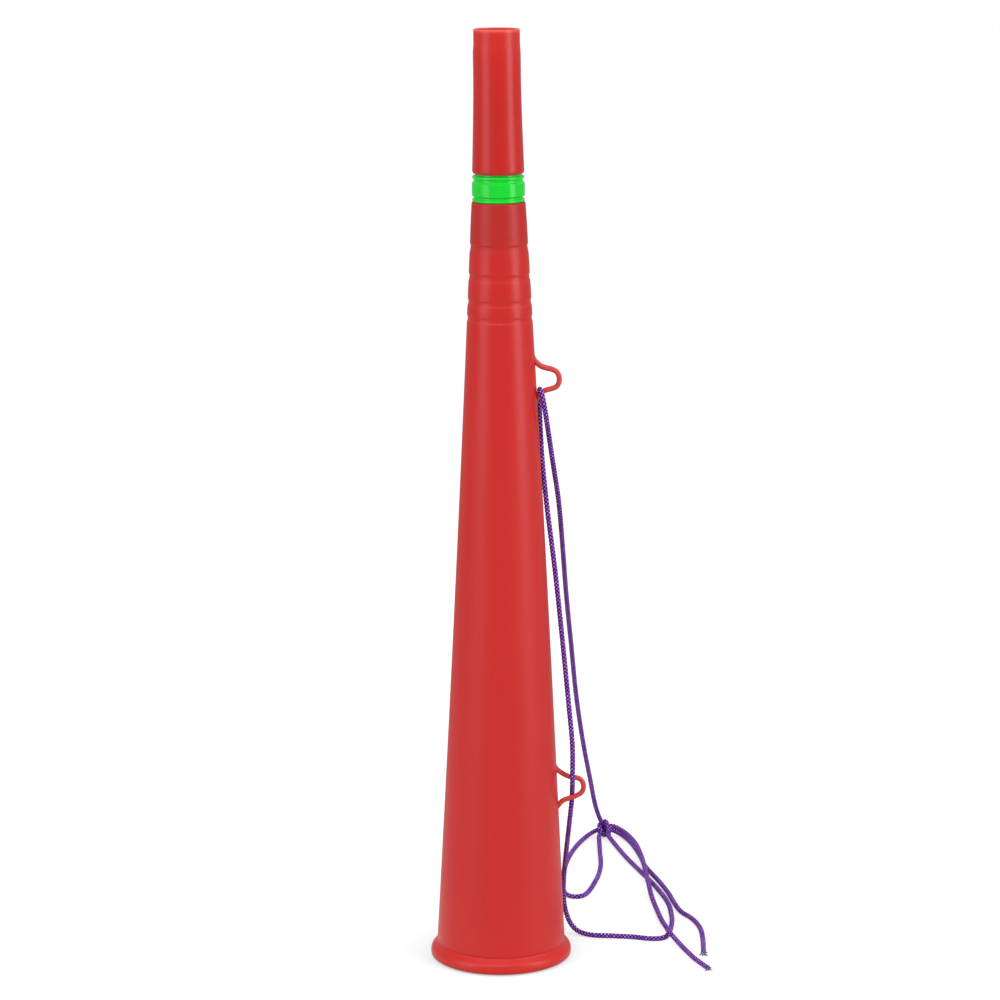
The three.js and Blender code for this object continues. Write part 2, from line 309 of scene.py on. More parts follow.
def braid(along, around):
    """Surface of a tubular braid at distances along the cord and angles round it: its height,
    from 0 in a gap to 1 on a crown, a place within the yarn that shows, and the strength of
    that stitch's painted highlight, drawn at random for each.

    Yarns that wind one way are counted by turns round plus repeats along, and those that wind
    the other way by turns less repeats. Across a yarn the height is a half circle, and along
    it a cosine that dips where the yarn goes under another. The higher yarn shows."""
    turns = around / (2 * math.pi) * braid_yarns
    repeats = along / braid_repeat
    sides = []
    for way in (1, -1):
        own, other = turns + way * repeats, turns - way * repeats
        number = np.round(own)
        across = own - number
        crown = np.sqrt(np.clip(1 - (2 * across) ** 2, 0, 1))
        over = way * np.cos(math.pi * (other - number))
        height = crown * (1 - braid_dip * (1 - over) / 2)
        row = np.round((other - number + (way - 1) / 2) / 2)
        stitch = (row * braid_yarns + number % braid_yarns).astype(int)
        light = stitch_glints[(2 * stitch + way) % stitch_draws]
        sides.append((height, across, other, number + way, light))
    (first, *first_place), (second, *second_place) = sides
    shows = first >= second
    *place, light = [np.where(shows, a, b) for a, b in zip(first_place, second_place)]
    return np.where(shows, first, second), np.stack(place, axis=-1), light


def round_line(line, radius, angles):
    """Rings of points round a line or a stack of lines: each point of the line plus the radius
    times cosine and sine of the angles along two directions square to the line."""
    tangent = unit(np.gradient(line, axis=-2))
    side = unit(np.cross(tangent, unit(np.array(frame_reference))))
    up = np.cross(tangent, side)
    turn_side = np.cos(angles)[:, None] * side[..., None, :]
    turn_up = np.sin(angles)[:, None] * up[..., None, :]
    return line[..., None, :] + radius[..., None] * (turn_side + turn_up)


def tube_faces(rows, columns, first=0):
    """Faces of a tube's rings, with a flat face on each end."""
    faces = (grid_faces(rows, columns) + first).tolist()
    start = list(range(first, first + columns))
    return faces + [start[::-1], [corner + (rows - 1) * columns for corner in start]]


def cord_surface(line, first_distance):
    """A round cord along a line, raised and sunk by its braid: points, faces and measures."""
    angles = np.arange(braid_sides) * (2 * math.pi / braid_sides)
    along = (distances(line) + first_distance)[:, None]
    height, grain, light = braid(along + 0 * angles, angles + 0 * along)
    radius = cord_radius * (braid_crown - braid_relief * (1 - height))
    points = round_line(line, radius, angles)
    points[..., 2] = np.maximum(points[..., 2], floor_gap)
    measures = {
        "braid_height": height[..., None],
        "yarn_grain": grain,
        "stitch_light": light[..., None],
    }
    return points, tube_faces(len(line), braid_sides), measures


class Socket:
    """An output socket of a material's node tree, so that sums on it add Math nodes."""

    def __init__(self, tree, output=None):
        self.tree = tree
        self.output = output

    def node(self, kind, settings=(), inputs=(), output=0):
        """Adds a node: first its settings, then its inputs by name or number, each a value or
        a Socket. A setting named stops fills a ramp with (position, colour) pairs."""
        made = self.tree.nodes.new(kind)
        for label, value in dict(settings).items():
            if label == "stops":
                elements = made.color_ramp.elements
                while len(elements) < len(value):
                    elements.new(1)
                for element, (position, colour) in zip(elements, value):
                    element.position = position
                    element.color = colour
            else:
                setattr(made, label, value)
        for label, value in dict(inputs).items():
            if isinstance(value, Socket):
                self.tree.links.new(value.output, made.inputs[label])
            else:
                made.inputs[label].default_value = value
        return Socket(self.tree, made.outputs[output] if made.outputs else None)

    def math(self, operation, first, second=0.0, clamp=False):
        """One Math node on numbers or Sockets."""
        settings = {"operation": operation, "use_clamp": clamp}
        return self.node("ShaderNodeMath", settings, {0: first, 1: second})

    def __add__(self, other):
        return self.math("ADD", self, other)

    def __sub__(self, other):
        return self.math("SUBTRACT", self, other)

    def __rsub__(self, other):
        return self.math("SUBTRACT", other, self)

    def __mul__(self, other):
        return self.math("MULTIPLY", self, other)

    __radd__ = __add__
    __rmul__ = __mul__


def blended(share, first, second):
    """A colour that goes from first to second as share goes from 0 to 1."""
    settings = {"data_type": "RGBA"}
    return share.node("ShaderNodeMix", settings, {0: share, 6: first, 7: second}, output=2)


def rising(value, start, end):
    """0 up to start, 1 from end on, and a straight rise between."""
    return value.math("MULTIPLY", value - start, 1 / (end - start), clamp=True)


def noise(tree, place, scale, detail=2.0, roughness=0.5):
    """A cloudy pattern about 0.5, with scale waves to the metre or to the unit of place."""
    inputs = {"Vector": place, "Scale": scale, "Detail": detail, "Roughness": roughness}
    return tree.node("ShaderNodeTexNoise", {}, inputs)


def new_finish(name):
    """An empty material and a Socket to start its nodes from."""
    material = bpy.data.materials.new(name)
    material.use_nodes = True
    material.node_tree.nodes.clear()
    return material, Socket(material.node_tree)


def finished(tree, inputs, height=None):
    """Ends a material: a Principled surface with these inputs and a bump of that height in
    metres."""
    inputs = dict(inputs)
    if height is not None:
        inputs["Normal"] = tree.node("ShaderNodeBump", {}, {"Distance": 1.0, "Height": height})
    surface = tree.node("ShaderNodeBsdfPrincipled", {}, inputs)
    tree.node("ShaderNodeOutputMaterial", {}, {"Surface": surface})


# The colours by the braid's height, and the heights at which the next one starts and is full:
# painted shade in the gaps, the yarn's own purple, and a painted highlight on the crowns
yarn_gap_shade = (0.018, 0.001, 0.080, 1)
yarn_middle = (0.137, 0.0065, 0.450, 1)
middle_start, middle_end = 0.50, 0.75
yarn_crown_highlight = (0.950, 0.440, 1.000, 1)
highlight_start, highlight_end = 0.74, 0.9726
filament_stretch = (11, 1.3, 3.7)
filament_light = 0.16
filament_depth = 0.05 * mm
filament_roughness = 0.2
patch_scale = 90.0
patch_light = 0.08
yarn_roughness = 0.55
yarn_specular = 0.25

# Little light reaches the hollow in the knot, so the yarn is darker there
heart_shade = (0.085, 0.005, 0.190, 1)
knot_heart = (axis_x + 0.0779, 0.2625, 0.0055)
heart_start = 3.0 * mm
heart_end = 4.8 * mm


def cord_finish():
    """Synthetic yarn: purple, with painted shade in the gaps and a painted highlight on each
    stitch's crown, as strong as that stitch's drawn highlight strength. Fine filaments run along
    each yarn, broad patches lighten or darken it a little, and painted shade darkens it round the
    knot's hollow."""
    material, tree = new_finish("braided_purple_yarn")
    height = tree.node("ShaderNodeAttribute", {"attribute_name": "braid_height"}, output="Fac")
    grain = tree.node("ShaderNodeAttribute", {"attribute_name": "yarn_grain"}, output="Vector")
    stretched = {0: grain, 1: filament_stretch}
    strands = tree.node("ShaderNodeVectorMath", {"operation": "MULTIPLY"}, stretched)
    filaments = noise(tree, strands, 1.0)
    place = tree.node("ShaderNodeTexCoord", output="Object")
    patches = noise(tree, place, patch_scale)
    light = tree.node("ShaderNodeAttribute", {"attribute_name": "stitch_light"}, output="Fac")
    lit = height + (filaments - 0.5) * filament_light + (patches - 0.5) * patch_light
    # Painted shade where the braid is low, and a painted highlight where it is high, as strong as
    # the stitch's drawn strength
    low = blended(rising(lit, middle_start, middle_end), yarn_gap_shade, yarn_middle)
    colour = blended(rising(lit, highlight_start, highlight_end) * light, low, yarn_crown_highlight)
    from_heart = {0: place, 1: knot_heart}
    away = tree.node("ShaderNodeVectorMath", {"operation": "DISTANCE"}, from_heart, output="Value")
    colour = blended(rising(away, heart_start, heart_end), heart_shade, colour)
    inputs = {
        "Base Color": colour,
        "Roughness": (filaments - 0.5) * filament_roughness + yarn_roughness,
        "Specular IOR Level": yarn_specular,
    }
    finished(tree, inputs, height=filaments * filament_depth)
    return material


purple_yarn = cord_finish()


def cord_piece(name, line, replaced, first_distance=0.0):
    """A stretch of cord on the horn, whose braid is counted from first_distance on."""
    points, faces, measures = cord_surface(line, first_distance)
    piece = mesh_piece(name, points, faces, purple_yarn, measures)
    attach(piece, "horn")
    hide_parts(*replaced)
    return piece


standing_line = cord_line(
    back_strand_tuck[::-1] + back_strand_route[::-1] + front_strand_route[1:] + floor_run_route[1:]
)
arch_top = np.array([axis_x + back_strand_route[0][0], 0, back_strand_route[0][2]])
arch_index = int(np.argmin(np.linalg.norm(standing_line - arch_top, axis=1)))
arch_distance = distances(standing_line)[arch_index]

back_line = standing_line[: arch_index + 1]
front_line = standing_line[arch_index:]
bow_line = cord_line(bow_first_tuck + bow_route + bow_last_tuck)
outer_tail_line = cord_line(outer_tail_tuck + outer_tail_route)
inner_tail_line = cord_line(inner_tail_tuck + inner_tail_route)

back_strand = cord_piece("lanyard_back_strand", back_line, ["cord_far_strand"])
front_strand = cord_piece(
    "lanyard_front_strand", front_line, ["cord_near_strand", "cord_floor_run"], arch_distance
)
bow = cord_piece("lanyard_bow", bow_line, ["cord_bow_loop"])
outer_tail = cord_piece("lanyard_outer_tail", outer_tail_line, ["cord_outer_tail"])
inner_tail = cord_piece("lanyard_inner_tail", inner_tail_line, ["cord_inner_tail"])


# Lanyard knot
# A slipped knot in the same cord: it winds twice round the other strands, the bow is pulled
# through as a loop, and the two tails leave on the right. Each strand dives into the windings.

knot_route = [
    (0.0812, 0.2518, 0.0028),
    (0.0811, 0.2541, 0.0044),
    (0.0813, 0.2558, 0.0073),
    (0.0807, 0.2573, 0.0103),
    (0.0792, 0.2602, 0.0123),
    (0.0780, 0.2640, 0.0108),
    (0.0775, 0.2664, 0.0072),
    (0.0778, 0.2654, 0.0034),
    (0.0784, 0.2622, 0.0018),
    (0.0778, 0.2584, 0.0024),
    (0.0757, 0.2562, 0.0046),
    (0.0745, 0.2572, 0.0079),
    (0.0745, 0.2606, 0.0098),
    (0.0762, 0.2644, 0.0088),
    (0.0774, 0.2656, 0.0062),
]
knot_easing = 0.6 * mm
knot_line = eased(curve_through(knot_route), line_step, knot_easing) + np.array([axis_x, 0, 0])
knot = cord_piece("lanyard_knot", knot_line, ["cord_knot"])


# Cord ends
# Both tails are cut and not melted, so the braid's yarns splay out round a pale core of
# straight fibres.

end_steps = 7
end_sides = 6
end_seed = 7
heading_points = 8

# For each kind, the number of fibres, their reach, spread and thickness, and where they
# start: how far back inside the cord, and how far from its middle
splayed_yarns = {
    "count": 9,
    "reach": 4.0 * mm,
    "spread": 3.2 * mm,
    "thickness": 0.60 * mm,
    "overlap": 0.4 * mm,
    "start_radius": 0.75 * cord_radius,
}
core_fibres = {
    "count": 16,
    "reach": 2.4 * mm,
    "spread": 1.0 * mm,
    "thickness": 0.25 * mm,
    "overlap": 0.2 * mm,
    "start_radius": 0.55 * cord_radius,
}
turn_wander = 0.3
least_run_share = 0.45
least_bend_share = 0.2
least_start_share = 0.6
tip_narrowing = 0.6


def splayed_fibres(end, heading, draws, count, reach, spread, thickness, overlap, start_radius):
    """Fibres that leave a cord's end: each runs on along the heading and bends away from the
    middle by the square of its run. Their tips thin out, and none goes below the floor."""
    tip = end - overlap * heading
    turns = np.arange(count) + draws.uniform(-turn_wander, turn_wander, count)
    turns = 2 * math.pi * turns / count
    runs = reach * draws.uniform(least_run_share, 1.0, count)
    bends = spread * draws.uniform(least_bend_share, 1.0, count)
    starts = start_radius * draws.uniform(least_start_share, 1.0, count)
    side = unit(np.cross(heading, unit(np.array(frame_reference))))
    away = np.cos(turns)[:, None] * side + np.sin(turns)[:, None] * np.cross(heading, side)
    share = np.linspace(0, 1, end_steps)
    line = tip + (share[None, :] * runs[:, None])[..., None] * heading
    line = line + (starts[:, None] + bends[:, None] * share**2)[..., None] * away[:, None, :]
    line[..., 2] = np.maximum(line[..., 2], thickness)
    angles = np.arange(end_sides) * (2 * math.pi / end_sides)
    radius = thickness * (1 - tip_narrowing * share)[:, None] + 0 * angles
    return round_line(line, radius, angles)


end_purple = (0.075, 0.004, 0.270, 1)
core_white = (0.97, 0.95, 0.98, 1)
core_paleness = 0.95
tip_paleness = 0.2
streak_scale = 3000.0
streak_paleness = 0.3
streak_roughness = 0.2
cut_roughness = 0.65


def end_finish():
    """Frayed yarn: purple, or white as far as the fibre's paleness, in fine streaks."""
    material, tree = new_finish("cut_yarn")
    paleness = tree.node("ShaderNodeAttribute", {"attribute_name": "paleness"}, output="Fac")
    place = tree.node("ShaderNodeTexCoord", output="Object")
    streaks = noise(tree, place, streak_scale) - 0.5
    white_share = tree.math("ADD", paleness, streaks * streak_paleness, clamp=True)
    colour = blended(white_share, end_purple, core_white)
    roughness = streaks * streak_roughness + cut_roughness
    finished(tree, {"Base Color": colour, "Roughness": roughness})
    return material


cut_yarn = end_finish()


def cord_end(name, line, draws):
    """The splayed yarns and the core of one cut end, as one mesh. The yarns grow paler
    towards their tips."""
    heading = unit(line[-1] - line[-heading_points])
    yarns = splayed_fibres(line[-1], heading, draws, **splayed_yarns)
    core = splayed_fibres(line[-1], heading, draws, **core_fibres)
    fibres = np.concatenate([yarns, core])
    each = end_steps * end_sides
    faces = []
    for first in range(0, len(fibres) * each, each):
        faces += tube_faces(end_steps, end_sides, first)
    towards_tip = np.linspace(0, tip_paleness, end_steps)[None, :, None]
    yarn_share = np.broadcast_to(towards_tip, yarns.shape[:-1])
    core_share = np.full(core.shape[:-1], core_paleness)
    paleness = np.concatenate([yarn_share, core_share])[..., None]
    piece = mesh_piece(name, fibres, faces, cut_yarn, {"paleness": paleness})
    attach(piece, "horn")
    return piece


end_draws = np.random.default_rng(end_seed)
outer_end = cord_end("outer_tail_cut_end", outer_tail_line, end_draws)
inner_end = cord_end("inner_tail_cut_end", inner_tail_line, end_draws)


# Horn body
# One red injection moulding: a long straight taper with a rolled bead round the bell's rim,
# four shallow finger grooves round the neck, and a socket in the neck's end.

body_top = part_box("horn_body")[1][2]
neck_radius = 17.5 * mm
bell_radius = 43.5 * mm
body_wall = 1.5 * mm
horn_bow = 1.5 * mm
neck_edge = 0.6 * mm
neck_top = body_top + 0.8 * mm
socket_radius = 15.35 * mm
socket_depth = 19 * mm
socket_chamfer = 0.35 * mm
neck_thickening = 26 * mm

# Each place is its radius and its height in mm, from the foot to the end of the crease
rim_profile = [
    (43.2, 0.0),
    (45.6, 0.6),
    (46.85, 1.5),
    (47.2, 2.9),
    (47.15, 4.5),
    (46.8, 6.0),
    (46.1, 7.3),
    (44.9, 8.3),
    (43.9, 9.15),
    (43.2, 9.8),
    (42.65, 10.3),
    (42.55, 10.8),
    (42.85, 11.7),
]
rim_samples = 12
wall_start = 0.5 * mm
wall_points = 1500

# How far each groove's upper wall, the top of its slope and the slope's end lie below the
# body's top, in mm
grip_grooves = [(73.2, 75.7, 76.9), (62.4, 64.7, 66.4), (45.7, 48.5, 50.4), (26.4, 28.9, 31.9)]
groove_depth = 0.5 * mm
groove_upper_wall = 0.8 * mm
grip_belly = 0.10 * mm

body_columns = 160
body_easing = 0.2 * mm
outline_step = 0.1 * mm
outline_span = 6 * mm
outline_bend = 0.11


def taper(height):
    """The body's outer radius at a height: a straight line from the bell's to the neck's."""
    return bell_radius + (neck_radius - bell_radius) * height / body_top


def bow_at(height):
    """The moulding came out bent: a half sine over the horn's height, towards the eyelets."""
    return horn_bow * np.sin(math.pi * height / tube_high[2])


def grip_relief(height):
    """What the grip adds to the taper: a low belly between grooves as a squared sine, less
    the grooves, as straight lines. Each has a steep upper wall, a flat bottom and a slope
    out again."""
    edges = body_top - np.array(grip_grooves) * mm
    phase = np.interp(height, [*edges[:, 1], body_top], np.arange(len(edges) + 1))
    relief = grip_belly * np.sin(math.pi * phase) ** 2
    for top, bottom, end in edges:
        stretch = [end, bottom, top - groove_upper_wall / 2, top + groove_upper_wall / 2]
        relief = relief - np.interp(height, stretch, [0, groove_depth, groove_depth, 0])
    return relief


def body_outline():
    """Points (radius, height) up the outside and down the inside: the rim's bead as a curve
    through its profile, whose last places are a narrow crease, then the taper and its grip."""
    bead = curve_through(np.array(rim_profile) * mm, rim_samples)
    wall_heights = np.linspace(bead[-1, 1] + wall_start, neck_top - neck_edge, wall_points)
    wall = taper(wall_heights) + grip_relief(wall_heights)
    socket_bottom = body_top - socket_depth
    thick_bottom = socket_bottom - neck_thickening
    inside = [
        (neck_radius - neck_edge, neck_top),
        (socket_radius + socket_chamfer, neck_top),
        (socket_radius, neck_top - 2 * socket_chamfer),
        (socket_radius, socket_bottom),
        (taper(thick_bottom) - body_wall, thick_bottom),
        (taper(0) - body_wall, 0),
    ]
    return np.vstack([bead, np.stack([wall, wall_heights], 1), inside])


def eased_outline(outline, reach):
    """A closed outline with its corners rounded: its weighted mean over its neighbours."""
    line = evenly(np.vstack([outline, outline[:1]]), outline_step)[:-1]
    wide = int(3 * reach / outline_step)
    weights = np.exp(-0.5 * (np.arange(-wide, wide + 1) * outline_step / reach) ** 2)
    padded = np.vstack([line[-wide:], line, line[:wide]])
    smooth = [np.convolve(axis, weights / weights.sum(), "valid") for axis in padded.T]
    return np.stack(smooth, axis=1)


def thinned_outline(outline, span):
    """Fewer points, which share out the sum of the outline's length over the span and its
    turning over outline_bend evenly, so that they crowd where it bends."""
    line = np.vstack([outline, outline[:1]])
    steps = np.diff(line, axis=0)
    heading = np.unwrap(np.arctan2(steps[:, 1], steps[:, 0]))
    turning = np.abs(np.diff(heading, append=heading[:1] + 2 * math.pi))
    turning = np.minimum(turning, np.abs(turning - 2 * math.pi))
    loads = np.linalg.norm(steps, axis=1) / span + turning / outline_bend
    load = np.concatenate([[0], np.cumsum(loads)])
    places = np.linspace(0, load[-1], math.ceil(load[-1]), endpoint=False)
    return np.stack([np.interp(places, load, axis) for axis in line.T], axis=1)


def turned_piece(name, outline, reach, span, columns, finish):
    """A closed outline of (radius, height) turned about the horn's axis, then bowed."""
    outline = thinned_outline(eased_outline(np.array(outline), reach), span)
    angles = np.arange(columns) * (2 * math.pi / columns)
    radius, height = outline[:, :1], outline[:, 1:]
    across, depth = radius * np.cos(angles), radius * np.sin(angles)
    points = np.stack([axis_x + bow_at(height) + across, depth, height + 0 * across], axis=-1)
    return mesh_piece(name, points, grid_faces(len(outline), columns, loop=True).tolist(), finish)


parting_half_width = 0.22 * mm
parting_height = 0.05 * mm
cloud_scale = 22.0
cloud_paleness = 0.5
cloud_roughness = 0.10
speckle_scale = 1500.0
speckle_paleness = 0.2
speckle_roughness = 0.06
paleness_start = 0.35
draw_line_scale = 700.0
draw_line_stretch = (1, 1, 0.03)
draw_line_share = 0.5


def plastic_finish(name, stops, pale, grain):
    """Moulded plastic: its colour by height, paler in clouds, with a fine mould texture as
    deep as grain, faint draw lines up the piece, uneven gloss, and the mould's parting line
    as a low rounded ridge on both sides, where the piece's depth is nought. Each stop is a
    height, a colour and the roughness there, which the ramp carries as its alpha."""
    material, tree = new_finish(name)
    place = tree.node("ShaderNodeTexCoord", output="Object")
    height = tree.node("ShaderNodeSeparateXYZ", {}, {"Vector": place}, output="Z")
    depth = tree.node("ShaderNodeSeparateXYZ", {}, {"Vector": place}, output="Y")
    clouds = noise(tree, place, cloud_scale, detail=3.0)
    speckle = noise(tree, place, speckle_scale, detail=3.0)
    stretched = {0: place, 1: draw_line_stretch}
    drawn = tree.node("ShaderNodeVectorMath", {"operation": "MULTIPLY"}, stretched)
    lines = noise(tree, drawn, draw_line_scale)
    offset = depth * (1 / parting_half_width)
    ridge = tree.math("SUBTRACT", 1.0, offset * offset, clamp=True)
    share = height * (1 / tube_high[2])
    ramp_stops = [(stop / tube_high[2], (*colour[:3], rough)) for stop, colour, rough in stops]
    ramp = tree.node("ShaderNodeValToRGB", {"stops": ramp_stops}, {"Fac": share})
    roughness = Socket(tree.tree, ramp.output.node.outputs["Alpha"])
    paleness = clouds * cloud_paleness + speckle * speckle_paleness
    shade = blended(tree.math("SUBTRACT", paleness, paleness_start, clamp=True), ramp, pale)
    uneven = (clouds - 0.5) * cloud_roughness + (speckle - 0.5) * speckle_roughness
    bumps = speckle * grain + lines * (grain * draw_line_share) + ridge * parting_height
    finished(tree, {"Base Color": shade, "Roughness": roughness + uneven}, height=bumps)
    return material


red = (0.600, 0.009, 0.005, 1)
pale_red = (0.660, 0.018, 0.012, 1)
# Painted light: the red is lighter round the rim and foot
rim_lit_red = (0.640, 0.011, 0.006, 1)
# Painted shade: the neck over the ring's spigot is darker, as less light comes through the thick
# wall there
spigot_shade_red = (0.490, 0.007, 0.003, 1)
body_stops = [
    (0, rim_lit_red, 0.36),
    (60 * mm, red, 0.44),
    (320 * mm, red, 0.43),
    (400 * mm, red, 0.37),
    (470 * mm, red, 0.34),
    (486 * mm, spigot_shade_red, 0.42),
]
body_grain = 0.010 * mm
red_plastic = plastic_finish("red_plastic", body_stops, pale_red, body_grain)

body = turned_piece("horn_shell", body_outline(), body_easing, outline_span, body_columns,
                    red_plastic)
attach(body, "horn")
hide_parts("horn_body")


# Lanyard eyelets
# Two round bars moulded in one with the body, on its parting line. Each limb runs out of the
# wall at a slant and curves in to the rounded tip, and its foot swells into the wall.

# Each place is its distance from the horn's axis, its height and the bar's half width, in mm
upper_eyelet_route = [
    (22.9, 409.6, 0.7),
    (23.4, 407.6, 1.1),
    (23.9, 405.6, 1.6),
    (25.4, 403.7, 1.85),
    (27.2, 402.1, 1.85),
    (29.4, 401.0, 1.85),
    (31.7, 400.35, 1.85),
    (35.1, 399.5, 1.8),
    (38.0, 398.0, 1.75),
    (39.4, 395.9, 1.75),
    (39.9, 393.4, 1.75),
    (39.75, 391.0, 1.75),
    (38.8, 388.8, 1.75),
    (36.8, 387.3, 1.75),
    (34.0, 386.5, 1.75),
    (31.4, 385.8, 1.75),
    (29.3, 384.9, 1.7),
    (27.0, 383.2, 2.2),
    (25.6, 380.8, 1.9),
    (25.0, 378.4, 1.1),
    (24.9, 376.6, 0.7),
]
lower_eyelet_route = [
    (36.7, 134.6, 0.6),
    (36.6, 132.8, 1.0),
    (36.8, 130.6, 1.5),
    (38.4, 128.4, 1.7),
    (40.4, 126.8, 1.7),
    (42.8, 125.2, 1.7),
    (46.2, 123.75, 1.7),
    (50.0, 123.1, 1.7),
    (52.6, 122.4, 1.7),
    (54.7, 120.7, 1.7),
    (55.6, 118.6, 1.7),
    (55.8, 116.4, 1.7),
    (55.4, 114.2, 1.7),
    (54.3, 112.4, 1.7),
    (52.4, 111.2, 1.7),
    (49.4, 109.6, 1.7),
    (45.6, 108.5, 1.7),
    (42.9, 107.6, 1.7),
    (40.9, 106.2, 1.7),
    (39.3, 104.3, 1.7),
    (38.0, 102.2, 1.5),
    (38.0, 100.4, 1.0),
    (38.3, 98.8, 0.6),
]
eyelet_step = 0.4 * mm
eyelet_sides = 32
eyelet_easing = 0.8 * mm
eyelet_flare = 0.35
eyelet_flare_reach = 2.4 * mm
# Painted light: the eyelets are lighter and more orange than the body, for light that comes
# through the thin bars
backlit_eyelet_red = (0.660, 0.052, 0.040, 1)
pale_backlit_eyelet_red = (0.720, 0.080, 0.064, 1)
eyelet_stops = [(0, backlit_eyelet_red, 0.4), (tube_high[2], backlit_eyelet_red, 0.4)]
small_piece_grain = 0.006 * mm
eyelet_plastic = plastic_finish("eyelet_plastic", eyelet_stops, pale_backlit_eyelet_red, small_piece_grain)


def eyelet_surface(route):
    """An oval bar along the eyelet's route, which lies in the plane of the parting line: the
    line plus cosine times its half width along the line's normal in that plane, plus sine
    times its half depth square to the plane. The half depth is the half width, flared by a
    bell curve of the distance from the wall."""
    places = curve_through(np.array(route) * mm)
    along = distances(places)
    line = eased(places[:, :2], eyelet_step, eyelet_easing)
    half_width = np.interp(distances(line) / distances(line)[-1], along / along[-1], places[:, 2])
    clear = line[:, 0] - taper(line[:, 1]) - bow_at(line[:, 1])
    flare = 1 + eyelet_flare * np.exp(-((np.clip(clear, 0, None) / eyelet_flare_reach) ** 2))
    tangent = unit(np.gradient(line, axis=0))
    normal = np.stack([tangent[:, 1], -tangent[:, 0]], axis=1)
    angles = np.arange(eyelet_sides) * (2 * math.pi / eyelet_sides)
    sideways = half_width[:, None] * np.cos(angles)
    across = line[:, None, :] + sideways[..., None] * normal[:, None, :]
    depth = (half_width * flare)[:, None] * np.sin(angles)
    points = np.stack([axis_x + across[..., 0], depth, across[..., 1]], axis=-1)
    return points, tube_faces(len(line), eyelet_sides)


def eyelet(name, route):
    """One eyelet, as a piece of the horn beside its shell."""
    piece = mesh_piece(name, *eyelet_surface(route), eyelet_plastic)
    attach(piece, "horn")


eyelet("upper_eyelet", upper_eyelet_route)
eyelet("lower_eyelet", lower_eyelet_route)


# Coupling ring
# A glossy green plastic moulding. Two thin flanges and a wide band show between the body and
# the mouth tube, and a hidden spigot on each end holds the three together by friction.

seat_gap = 0.3 * mm
ring_seat = body_top + seat_gap

# Each place is its radius and its height above the seat, in mm
ring_outline = [
    (12.9, -18.0),
    (14.5, -18.0),
    (15.2, -17.3),
    (15.2, 0.8),
    (16.65, 0.8),
    (17.0, 1.1),
    (17.0, 2.35),
    (16.7, 2.65),
    (15.9, 2.8),
    (15.9, 3.95),
    (17.1, 4.7),
    (17.1, 12.95),
    (15.9, 13.9),
    (15.9, 15.5),
    (16.5, 15.65),
    (16.8, 15.95),
    (16.8, 17.1),
    (16.4, 17.45),
    (14.6, 17.45),
    (14.6, 32.7),
    (13.9, 33.4),
    (12.9, 33.4),
]
ring_easing = 0.14 * mm
ring_columns = 128
piece_span = 3 * mm
green = (0.001, 0.690, 0.028, 1)
pale_green = (0.004, 0.760, 0.045, 1)
shaded_green = (0.001, 0.200, 0.010, 1)

# The upper flange's top, which the mouth tube's foot shades, is darker
ring_stops = [
    (500 * mm, green, 0.2),
    (ring_seat + 17.0 * mm, green, 0.2),
    (ring_seat + 17.35 * mm, shaded_green, 0.4),
    (ring_seat + 17.55 * mm, shaded_green, 0.4),
    (ring_seat + 17.9 * mm, green, 0.2),
]
ring_grain = 0.004 * mm
green_plastic = plastic_finish("green_plastic", ring_stops, pale_green, ring_grain)

ring = turned_piece("green_ring", np.array(ring_outline) * mm + (0, ring_seat), ring_easing,
                    piece_span, ring_columns, green_plastic)
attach(ring, "coupling")
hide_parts("coupling_ring")


# Mouth tube
# A red plastic moulding, open at both ends and pushed over the ring's upper spigot. It has a
# rounded foot, a slight waist and a plain lip. Painted light makes it lighter towards the lip,
# for light that comes through the thin wall, with a painted highlight on the lip's edge, and
# painted shade darkens the foot over the spigot.

tube_seat = tube_low[2] + 1.0 * mm
tube_length = tube_high[2] - tube_seat
tube_foot_radius = 16.9 * mm
tube_waist_radius = 15.35 * mm
tube_lip_radius = 14.95 * mm
tube_taper_length = 61 * mm
tube_taper_power = 1.4
tube_foot_height = 2.2 * mm
tube_foot_rounding = 1.4 * mm
tube_lip_length = 9.5 * mm
tube_lip_step = 5 * mm
tube_wall = 1.7 * mm
tube_socket_radius = 14.75 * mm
tube_socket_depth = 17 * mm
tube_easing = 0.35 * mm
foot_points = 30
tube_wall_points = 200
bore_points = 100
# Painted shade: the tube's foot over the ring's spigot is darker, as less light comes through the
# thick wall
tube_foot_shade_red = (0.550, 0.007, 0.003, 1)
# Painted light near the lip, and a painted highlight on its edge
lip_lit_red = (0.640, 0.016, 0.011, 1)
lip_edge_highlight = (0.950, 0.120, 0.090, 1)


def tube_taper(height):
    """The tube narrows by a power of what is left of the taper, then runs straight."""
    left = np.clip(1 - height / tube_taper_length, 0, None)
    return tube_waist_radius + (tube_foot_radius - tube_waist_radius) * left**tube_taper_power


def mouth_tube_outline():
    """Up the outside, whose foot is a quarter of an ellipse, and down the bore."""
    quarter = np.linspace(0, math.pi / 2, foot_points)
    foot_start = tube_foot_radius - tube_foot_rounding
    foot = foot_start + (tube_taper(tube_foot_height) - foot_start) * np.sin(quarter)
    foot_heights = tube_foot_height * (1 - np.cos(quarter))
    wall_heights = np.linspace(tube_foot_height, tube_taper_length, tube_wall_points)[1:]
    lip_bottom = tube_length - tube_lip_length
    lip = [
        (tube_waist_radius, lip_bottom - tube_lip_step),
        (tube_lip_radius, lip_bottom),
        (tube_lip_radius, tube_length),
        (tube_lip_radius - tube_wall, tube_length),
    ]
    bore_heights = np.linspace(tube_taper_length, tube_socket_depth, bore_points)
    socket = [(tube_socket_radius, tube_socket_depth), (tube_socket_radius, 0)]
    return np.vstack([
        np.stack([foot, foot_heights], 1),
        np.stack([tube_taper(wall_heights), wall_heights], 1),
        lip,
        np.stack([tube_taper(bore_heights) - tube_wall, bore_heights], 1),
        socket,
    ])


